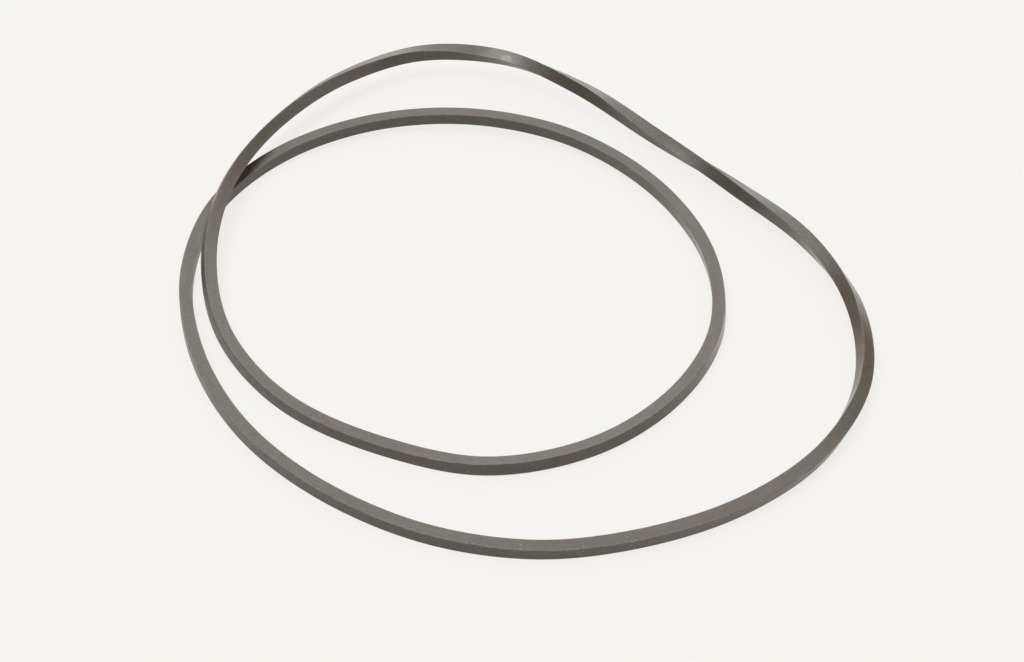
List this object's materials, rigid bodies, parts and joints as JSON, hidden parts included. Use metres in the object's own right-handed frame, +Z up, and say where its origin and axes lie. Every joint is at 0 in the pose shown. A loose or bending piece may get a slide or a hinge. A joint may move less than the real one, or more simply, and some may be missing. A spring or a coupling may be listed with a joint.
{
  "type": "brake seal ring",
  "caption": "Thin endless rubber seal ring of square section with crisp edges, lying in a double loop that crosses over itself.",
  "frame": {"origin": "on the surface that the ring lies on, under the middle of its bounding box", "axes": "+Z up from the surface; +Y along the longer side of the lying ring, towards the back of the double loop; +X to the right"},
  "size_m": [0.2116, 0.2272, 0.0124],
  "materials": {
    "seal_ring": "matte"
  },
  "bodies": {
    "root": {"seal_ring": "seal_ring"}
  },
  "joints": []
}
